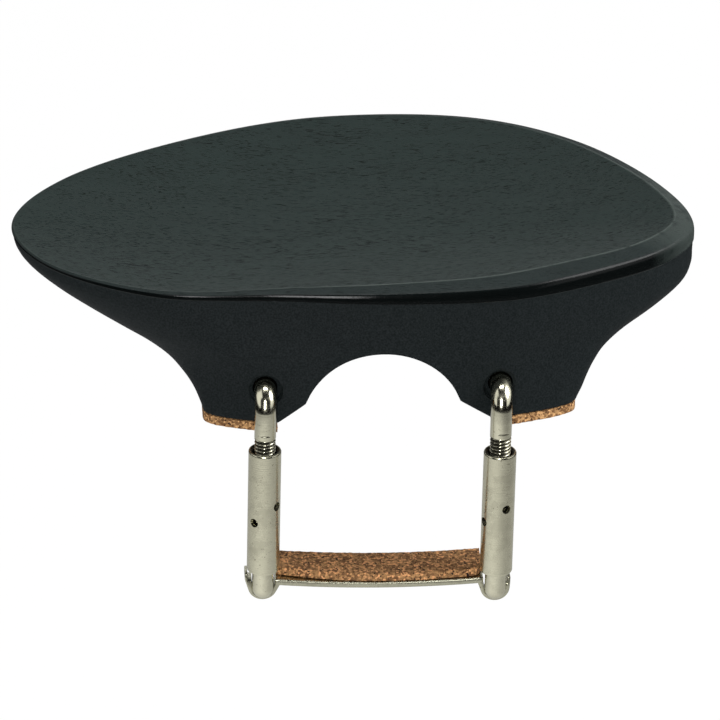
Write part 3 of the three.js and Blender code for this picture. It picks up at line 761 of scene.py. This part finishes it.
def strip_cork():
    """The cork strip on the plate. Its front leaves the plate's edge at both ends, where it is cut round
    the barrels."""
    half = strip_high.x
    lift = strip_low.z - (PLATE_TOP - PLATE_SAG)
    thickness = strip_high.z - (PLATE_TOP - sag(half)) - lift
    _, _, leg_x, leg_y, radius = upright("right_barrel")
    room = radius + BARREL_ROOM
    rows = []
    end, near_end, inner = (half - inset for inset in STRIP_END_ROWS)
    for x in (-end, -near_end, *np.linspace(-inner, inner, STRIP_ROWS), near_end, end):
        inset = (STRIP_LEFT_INSET if x < 0 else STRIP_RIGHT_INSET) * (x / half) ** 2
        round_barrel = leg_y + math.sqrt(max(room**2 - (leg_x - abs(x)) ** 2, 0))
        front = max(plate_low.y + inset, round_barrel if leg_x - abs(x) < room else plate_low.y)
        low = PLATE_TOP - sag(x) + lift
        rows.append(box_ring(x, front, strip_high.y, low, low + thickness, *STRIP_RING))
    return cork_skin("strip_cork", "bracket_cork", rows)


def box_ring(x, front, back, low, high, deep, tall):
    """A ring of points round a rectangle that faces +X, with its corners rounded off."""
    ys, zs = np.linspace(front, back, deep), np.linspace(low, high, tall)
    ring = [(y, low) for y in ys[:-1]] + [(back, z) for z in zs[:-1]]
    ring += [(y, high) for y in ys[:0:-1]] + [(front, z) for z in zs[:0:-1]]
    middle = np.array([(front + back) / 2, (low + high) / 2])
    flat = np.array([back - front, high - low]) / 2 - CORK_EDGE
    away = np.array(ring) - middle
    core = np.clip(away, -flat, flat)
    out = away - core
    length = np.maximum(np.linalg.norm(out, axis=1, keepdims=True), MERGE)
    rounded = middle + core + out * np.minimum(CORK_EDGE / length, 1)
    return np.column_stack([np.full(len(ring), x), rounded])


def cork_skin(name, node, rows):
    """A cork piece over rings, closed at both ends, with small dents all over, inside its node's box."""
    for end in (0, -1):
        middle = rows[end].mean(0)
        closing = [middle + (rows[end] - middle) * share for share in CORK_CLOSING]
        rows = closing[::-1] + rows if end == 0 else rows + closing
    piece = skin(name, rows)
    low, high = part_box(node)
    texture = bpy.data.textures.new(f"{name}_dents", "CLOUDS")
    texture.noise_scale = CORK_DENT_SIZE
    texture.noise_depth = 2
    dents = {"texture": texture, "texture_coords": "LOCAL", "strength": CORK_DENT_DEPTH, "mid_level": 1}
    apply_modifier(piece, "DISPLACE", **dents)
    for vert in piece.data.vertices:
        vert.co = [min(max(place, least), most) for place, least, most in zip(vert.co, low, high)]
    return finish_piece(piece, CORK_SMOOTH)


def foot_pad(leg):
    """A cork pad with the foot's own outline, cut off square at the arch side."""
    node = f"{leg}_foot_cork"
    low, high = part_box(node)
    rows = []
    inner, outer = (high.x, low.x) if leg == "left" else (low.x, high.x)
    for share in np.sin(np.linspace(0, math.pi / 2, PAD_ROWS)):
        x = inner + (outer - inner) * share * PAD_REACH
        bulge = foot_bulge((x - FOOT_MIDDLE) / FOOT_HALF)
        front, back = (face_y(x) + FOOT_DEPTH / 2 * (1 + side * bulge) for side in (-1, 1))
        rows.append(box_ring(x, front, back, low.z, high.z, *PAD_RING))
    return cork_skin(f"{leg}_foot_pad", node, rows if leg == "right" else rows[::-1])


# Materials
class Value:
    """A node's output. Sums and products of values, or of values and numbers, make math nodes."""

    def __init__(self, socket):
        self.socket = socket
        self.tree = socket.id_data

    def __add__(self, other):
        return combine("ADD", self, other)

    def __sub__(self, other):
        return combine("SUBTRACT", self, other)

    def __rsub__(self, other):
        return combine("SUBTRACT", other, self)

    def __mul__(self, other):
        return combine("MULTIPLY", self, other)

    def __truediv__(self, other):
        return combine("DIVIDE", self, other)

    def __rtruediv__(self, other):
        return combine("DIVIDE", other, self)


def combine(operation, first, second):
    """A math node over two values, one of which may be a number."""
    tree = first.tree if isinstance(first, Value) else second.tree
    return Value(add_node(tree, "Math", {0: first, 1: second}, operation=operation)["Value"])


def larger(first, second):
    return combine("MAXIMUM", first, second)


def clamped(value):
    """Keeps the result of a sum or a product between 0 and 1."""
    value.socket.node.use_clamp = True
    return value


def give(socket, value):
    """Links a value to a socket, or sets the socket to a number, a vector or a colour."""
    if isinstance(value, Value):
        value.tree.links.new(value.socket, socket)
    else:
        socket.default_value = (*value, 1) if socket.type == "RGBA" else value


def add_node(tree, kind, inputs=None, **settings):
    """Adds a node with its settings and inputs, given by name or by number, and returns its outputs."""
    node = tree.nodes.new(f"ShaderNode{kind}")
    for name, value in settings.items():
        setattr(node, name, value)
    for name, value in (inputs or {}).items():
        give(node.inputs[name], value)
    return node.outputs


def shader(name):
    """A new material, with its nodes and its main shader."""
    material = bpy.data.materials.new(name)
    material.use_nodes = True
    return material, material.node_tree, material.node_tree.nodes["Principled BSDF"]


def set_shader(main, **values):
    for title, value in values.items():
        give(main.inputs[title.replace("_", " ")], value)


def bump(main, height, strength, distance):
    inputs = {"Height": height, "Strength": strength, "Distance": distance}
    give(main.inputs["Normal"], Value(add_node(height.tree, "Bump", inputs)["Normal"]))


def start_group(name, inputs, outputs):
    """A shader node group with named number inputs, given with their defaults, and named outputs."""
    group = bpy.data.node_groups.new(name, "ShaderNodeTree")
    for title, default in inputs.items():
        socket = group.interface.new_socket(title, in_out="INPUT", socket_type="NodeSocketFloat")
        socket.default_value = default
    for title in outputs:
        group.interface.new_socket(title, in_out="OUTPUT", socket_type="NodeSocketFloat")
    given = group.nodes.new("NodeGroupInput").outputs
    return group, [Value(given[title]) for title in inputs], group.nodes.new("NodeGroupOutput").inputs


def use_group(tree, group, **values):
    """Puts a node group in a material, and returns what it gives, by name."""
    inputs = {title.replace("_", " "): value for title, value in values.items()}
    outputs = add_node(tree, "Group", inputs, node_tree=group)
    return {socket.name: Value(socket) for socket in outputs}


def point_mark(tree, name):
    """A mark that the mesh's points carry."""
    return Value(add_node(tree, "Attribute", attribute_name=name)["Fac"])


def object_place(tree):
    return Value(add_node(tree, "TexCoord")["Object"])


def step_between(value, low, high):
    """0 up to the low value, 1 from the high value, and a smooth step between them."""
    inputs = {"Value": value, "From Min": low, "From Max": high}
    return Value(add_node(value.tree, "MapRange", inputs, interpolation_type="SMOOTHSTEP")["Result"])


def mix_colour(factor, first, second):
    # Inputs 6 and 7 and output 2 are the node's colours
    inputs = {"Factor": factor, 6: first, 7: second}
    return Value(add_node(factor.tree, "Mix", inputs, data_type="RGBA")[2])


def vector_math(operation, first, second=None, output="Vector"):
    inputs = {0: first} if second is None else {0: first, 1: second}
    return Value(add_node(first.tree, "VectorMath", inputs, operation=operation)[output])


def vector(tree, **axes):
    return Value(add_node(tree, "CombineXYZ", axes)["Vector"])


def stretched(place, scale):
    """The place, stretched by a scale for each axis."""
    return Value(add_node(place.tree, "Mapping", {"Vector": place, "Scale": scale})["Vector"])


def noise(place, scale, detail=2.0, roughness=0.5):
    inputs = {"Vector": place, "Scale": scale, "Detail": detail, "Roughness": roughness}
    return Value(add_node(place.tree, "TexNoise", inputs)["Fac"])


def grain_group():
    """Wood grain along X: short dark pores in patches, and faint streaks."""
    group, (length, width), out = start_group(
        "wood_grain", {"Pore length": 1.0, "Pore width": 1.0}, ("Pores", "Streaks")
    )
    place = object_place(group)
    across = 1 / width
    drift = noise(stretched(place, GRAIN_DRIFT), 1.0)
    wobble = vector_math("MULTIPLY", vector(group, Y=drift, Z=drift), GRAIN_WOBBLE)
    drifted = vector_math("ADD", place, wobble)
    lines = noise(vector_math("MULTIPLY", drifted, vector(group, X=1 / length, Y=across, Z=across)), 1.0, 1.5)
    patches = noise(stretched(place, PORE_PATCHES), 1.0, 1.0)
    threshold = PORE_THRESHOLD - patches * PORE_SPREAD
    give(out["Pores"], step_between(lines - threshold, 0.0, PORE_EDGE))
    give(out["Streaks"], noise(stretched(place, STREAKS), 1.0, 3.0))
    return group


def granule_group():
    """Pressed cork: pale and dark granules with fine dark seams and specks."""
    group, (size,), out = start_group("cork_granules", {"Granule size": 0.0009}, ("Tone", "Specks", "Height"))
    place = object_place(group)
    inputs = {"Vector": place, "Scale": 1 / size}
    cells = Value(add_node(group, "TexVoronoi", inputs)["Color"])
    edges = Value(add_node(group, "TexVoronoi", inputs, feature="DISTANCE_TO_EDGE")["Distance"])
    tone = Value(add_node(group, "SeparateColor", {"Color": cells})["Red"])
    fine = noise(place, CORK_FINE_SCALE, 3.0, 0.6)
    give(out["Tone"], tone * GRANULE_SHARE + fine * (1 - GRANULE_SHARE))
    seam = 1 - step_between(edges, 0.0, SEAM_WIDTH)
    speck = step_between(noise(place, CORK_SPECK_SCALE, 1.0), *CORK_SPECK_RANGE)
    give(out["Specks"], larger(speck, seam * SEAM_DARKNESS))
    give(out["Height"], fine - speck * SPECK_DEPTH)
    return group


def plating_group():
    """Worn nickel: slow stains, fine pits and turning lines round the rod's axis."""
    group, (spacing,), out = start_group("worn_plating", {"Line spacing": 0.0002}, ("Stains", "Specks", "Lines"))
    place = object_place(group)
    give(out["Stains"], noise(place, STAIN_SCALE, 4.0, 0.6))
    give(out["Specks"], step_between(noise(place, PIT_SCALE, 1.0), *PIT_RANGE))
    scale = vector(group, X=LINE_SCALE, Y=LINE_SCALE, Z=1 / spacing)
    give(out["Lines"], noise(vector_math("MULTIPLY", place, scale), 1.0, 2.0))
    return group


def black_wood(grain):
    """Black-stained wood: a matte sanded face, a polished band and a satin dish with open pores."""
    material, tree, main = shader("black_wood")
    pattern = use_group(tree, grain, Pore_length=PORE_LENGTH, Pore_width=PORE_WIDTH)
    polish, satin, worn = (point_mark(tree, name) for name in ("polish", "satin", "worn"))
    place = object_place(tree)
    pores = pattern["Pores"] * clamped(satin - polish)
    body = mix_colour(step_between(noise(place, MOTTLE_SCALE), *MOTTLE_RANGE), *BODY_COLOURS)
    colour = mix_colour(satin, body, mix_colour(pattern["Streaks"], *DISH_COLOURS))
    colour = mix_colour(pores, colour, PORE_COLOUR)
    colour = mix_colour(polish, colour, POLISHED_COLOUR)
    # Painted highlight: a lighter colour on the crest, the band's lower lip and the roll's right end, broken up by
    # noise
    edge = worn * step_between(noise(place, HIGHLIGHT_BREAKUP_SCALE, 3.0), *HIGHLIGHT_BREAKUP_RANGE)
    colour = mix_colour(edge, colour, PAINTED_HIGHLIGHT_COLOUR)
    rough = noise(place, HAZE_SCALE, 3.0) * HAZE_ROUGHNESS + WOOD_ROUGHNESS - satin * SATIN_SMOOTHNESS
    rough = clamped(rough + pores * PORE_ROUGHNESS - polish * POLISH_SMOOTHNESS)
    set_shader(main, Base_Color=colour, Roughness=rough, Specular_IOR_Level=0.12)
    bump(main, noise(place, WOOD_FINE_SCALE) * WOOD_FINE_DEPTH - pores, strength=0.6, distance=0.0001)
    return material


def cork(name, granules, pale, dark, speck, crumb):
    material, tree, main = shader(name)
    pattern = use_group(tree, granules, Granule_size=GRANULE_SIZE)
    colour = mix_colour(step_between(pattern["Tone"], *TONE_RANGE), dark, pale)
    colour = mix_colour(step_between(pattern["Tone"], *CRUMB_RANGE), colour, crumb)
    colour = mix_colour(pattern["Specks"], colour, speck)
    set_shader(main, Base_Color=colour, Roughness=0.88, Specular_IOR_Level=0.2)
    bump(main, pattern["Height"], strength=0.9, distance=0.00015)
    return material


def nickel(name, plating, colour, stain, rough, line_spacing, line_depth):
    """Nickel plating with stains and fine turning lines, and painted shade in its threads, bores, key holes and grip
    mark, with a painted dark reflection on the barrels' flat ends.
    """
    material, tree, main = shader(name)
    pattern = use_group(tree, plating, Line_spacing=line_spacing)
    grime = point_mark(tree, "grime")
    marked = step_between(pattern["Stains"], *STAIN_RANGE)
    shade = mix_colour(marked * STAIN_STRENGTH, colour, stain)
    shade = mix_colour(pattern["Specks"] * PIT_STRENGTH, shade, PIT_COLOUR)
    # Painted shade: a darker colour in the hollows and on the barrels' flat ends
    shade = mix_colour(grime * PAINTED_SHADE_STRENGTH, shade, PAINTED_SHADE_COLOUR)
    roughness = marked * STAIN_ROUGHNESS + rough + pattern["Specks"] * PIT_ROUGHNESS + grime * PAINTED_SHADE_ROUGHNESS
    set_shader(main, Base_Color=shade, Roughness=roughness, Metallic=1.0)
    bump(main, pattern["Lines"], strength=line_depth, distance=0.00003)
    return material


# Pieces
def dress(piece, node, body, material):
    """Puts a piece in a CAD node's place, on its body and with its finish."""
    piece.data.materials.clear()
    piece.data.materials.append(material)
    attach(piece, body)
    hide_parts(node)


def build_object():
    wood = black_wood(grain_group())
    granules = granule_group()
    pad_cork = cork("pad_cork", granules, *PAD_COLOURS)
    bed_cork = cork("strip_cork", granules, *STRIP_COLOURS)
    plating = plating_group()
    rod = nickel("nickel_rod", plating, *ROD_PLATING)
    turned = nickel("turned_nickel", plating, *TURNED_PLATING)
    pressed = nickel("pressed_nickel", plating, *PRESSED_PLATING)
    dress(chinrest_wood(), "chinrest", CUP, wood)
    for leg in ("left", "right"):
        dress(foot_pad(leg), f"{leg}_foot_cork", CUP, pad_cork)
        dress(hook(leg), f"{leg}_hook", CUP, rod)
        dress(barrel(leg), f"{leg}_barrel", f"{leg}_turnbuckle", turned)
        dress(stud(leg), f"{leg}_stud", BRACKET, rod)
    dress(bracket_plate(), "bracket_plate", BRACKET, pressed)
    dress(strip_cork(), "bracket_cork", BRACKET, bed_cork)


# Studio
def rays(tree):
    """Whether a ray comes from the camera, a reflection or clear glass."""
    path = add_node(tree, "LightPath")
    return (Value(path[f"Is {kind} Ray"]) for kind in ("Camera", "Glossy", "Transmission"))


def soft_white():
    """Full white wherever the camera, a reflection or clear glass looks, and a plainer light elsewhere."""
    world = bpy.data.worlds.new("soft_white")
    world.use_nodes = True
    background = world.node_tree.nodes["Background"]
    give(background.inputs["Color"], (1, 1, 1))
    camera, glossy, transmission = rays(world.node_tree)
    seen = larger(larger(camera, glossy), transmission)
    give(background.inputs["Strength"], seen * (1 - WORLD_LIGHT) + WORLD_LIGHT)
    bpy.context.scene.world = world


def white_floor():
    floor = new_shape(
        "floor", bpy.ops.mesh.primitive_circle_add, vertices=FLOOR_SIDES, radius=FLOOR_RADIUS, fill_type="NGON",
        location=(0, 0, FLOOR_HEIGHT),
    )
    material, tree, main = shader("white_floor")
    set_shader(main, Base_Color=FLOOR_COLOUR, Roughness=1.0, Specular_IOR_Level=0.0)
    camera, glossy, transmission = rays(tree)
    # Painted light: in reflections the floor glows in a painted pool round the object, brightest at a painted spot, and
    # fades towards the room
    place = object_place(tree)
    painted_pool = 1 - step_between(vector_math("LENGTH", place, output="Value"), *PAINTED_POOL_RANGE)
    painted_spot = 1 - step_between(vector_math("DISTANCE", place, PAINTED_SPOT_PLACE, "Value"), 0.0, PAINTED_SPOT_REACH)
    mirrored = glossy * ((painted_spot * (1 - DIM_FLOOR) + DIM_FLOOR) * painted_pool)
    seen = larger(larger(camera, transmission) * FLOOR_GLOW, mirrored)
    glowing = larger(seen, glossy)
    glow = Value(add_node(tree, "Emission", {"Strength": seen / glowing})["Emission"])
    above = mix_shaders(glowing, Value(main.outputs["BSDF"]), glow)
    # From below, the floor is clear
    below = Value(add_node(tree, "NewGeometry")["Backfacing"])
    clear = Value(add_node(tree, "BsdfTransparent")["BSDF"])
    give(tree.nodes["Material Output"].inputs["Surface"], mix_shaders(below, above, clear))
    floor.data.materials.append(material)


def mix_shaders(factor, first, second):
    return Value(add_node(factor.tree, "MixShader", {0: factor, 1: first, 2: second})["Shader"])


def card(name, centre, width, height, colour, glow=0.0):
    """A card that faces the object, unseen by the camera."""
    facing = centre.to_track_quat("Z", "Y").to_euler()
    piece = new_shape(
        name, bpy.ops.mesh.primitive_grid_add, x_subdivisions=1, y_subdivisions=1, size=1,
        location=centre, rotation=facing,
    )
    piece.scale = (width, height, 1)
    material, _, main = shader(name)
    set_shader(main, Base_Color=colour, Roughness=1.0, Specular_IOR_Level=0.0)
    set_shader(main, Emission_Color=(1, 1, 1), Emission_Strength=glow)
    piece.data.materials.append(material)
    piece.visible_camera = piece.visible_shadow = False


def softbox(name, azimuth, elevation, distance, width, height, power):
    """A soft light aimed at the object, unseen by the camera. Azimuth 0 is behind the camera's side."""
    place = direction(azimuth, elevation) * distance
    light = bpy.data.lights.new(name, "AREA")
    light.shape = "RECTANGLE"
    light.size, light.size_y, light.energy = width, height, power
    lamp = bpy.data.objects.new(name, light)
    lamp.location = place
    lamp.rotation_euler = place.to_track_quat("Z", "Y").to_euler()
    lamp.visible_camera = False
    bpy.context.collection.objects.link(lamp)


def direction(azimuth, elevation):
    """The way from the object to a place in front of it: azimuth 0 is -Y, and 90 is +X."""
    turn, rise = math.radians(azimuth), math.radians(elevation)
    return Vector((math.sin(turn) * math.cos(rise), -math.cos(turn) * math.cos(rise), math.sin(rise)))


def photo_camera():
    """The camera at the photograph's angle, a little above and to the left, slightly turned."""
    turn, roll = math.radians(CAMERA_TURN), math.radians(CAMERA_ROLL)
    forward = -direction(-CAMERA_TURN, CAMERA_FALL)
    level = Vector((math.cos(turn), -math.sin(turn), 0))
    up = level.cross(forward)
    right = math.cos(roll) * level + math.sin(roll) * up
    up = math.cos(roll) * up - math.sin(roll) * level
    lens = bpy.data.cameras.new("camera")
    lens.lens, lens.sensor_width = CAMERA_LENS, CAMERA_SENSOR
    camera = bpy.data.objects.new("camera", lens)
    place = Vector(CAMERA_AIM) - CAMERA_DISTANCE * forward + CAMERA_ACROSS * right + CAMERA_UP * up
    columns = Matrix((right, up, -forward)).transposed()
    camera.matrix_world = Matrix.Translation(place) @ columns.to_4x4()
    bpy.context.collection.objects.link(camera)
    bpy.context.scene.camera = camera


bpy.context.scene.view_settings.view_transform = "Standard"
build_object()
soft_white()
white_floor()
photo_camera()
card("dark_room", direction(-4, 22) * 1.7, 4.6, 1.7, DARK_CARD)
card("dark_ceiling", direction(0, 75) * 1.5, 2.2, 1.5, DARK_CARD)
card("grey_wall", direction(180, 25) * 1.7, 3.4, 1.7, GREY_CARD, 0.25)
softbox("top_light", 0, 97, 1.2, 0.8, 0.5, 9)
softbox("front_light", -9, 19, 1.2, 0.2, 0.7, 9)
softbox("right_light", 84, 36, 1.0, 0.55, 0.55, 9)
softbox("back_light", 180, 62, 1.2, 0.7, 0.4, 0.4)
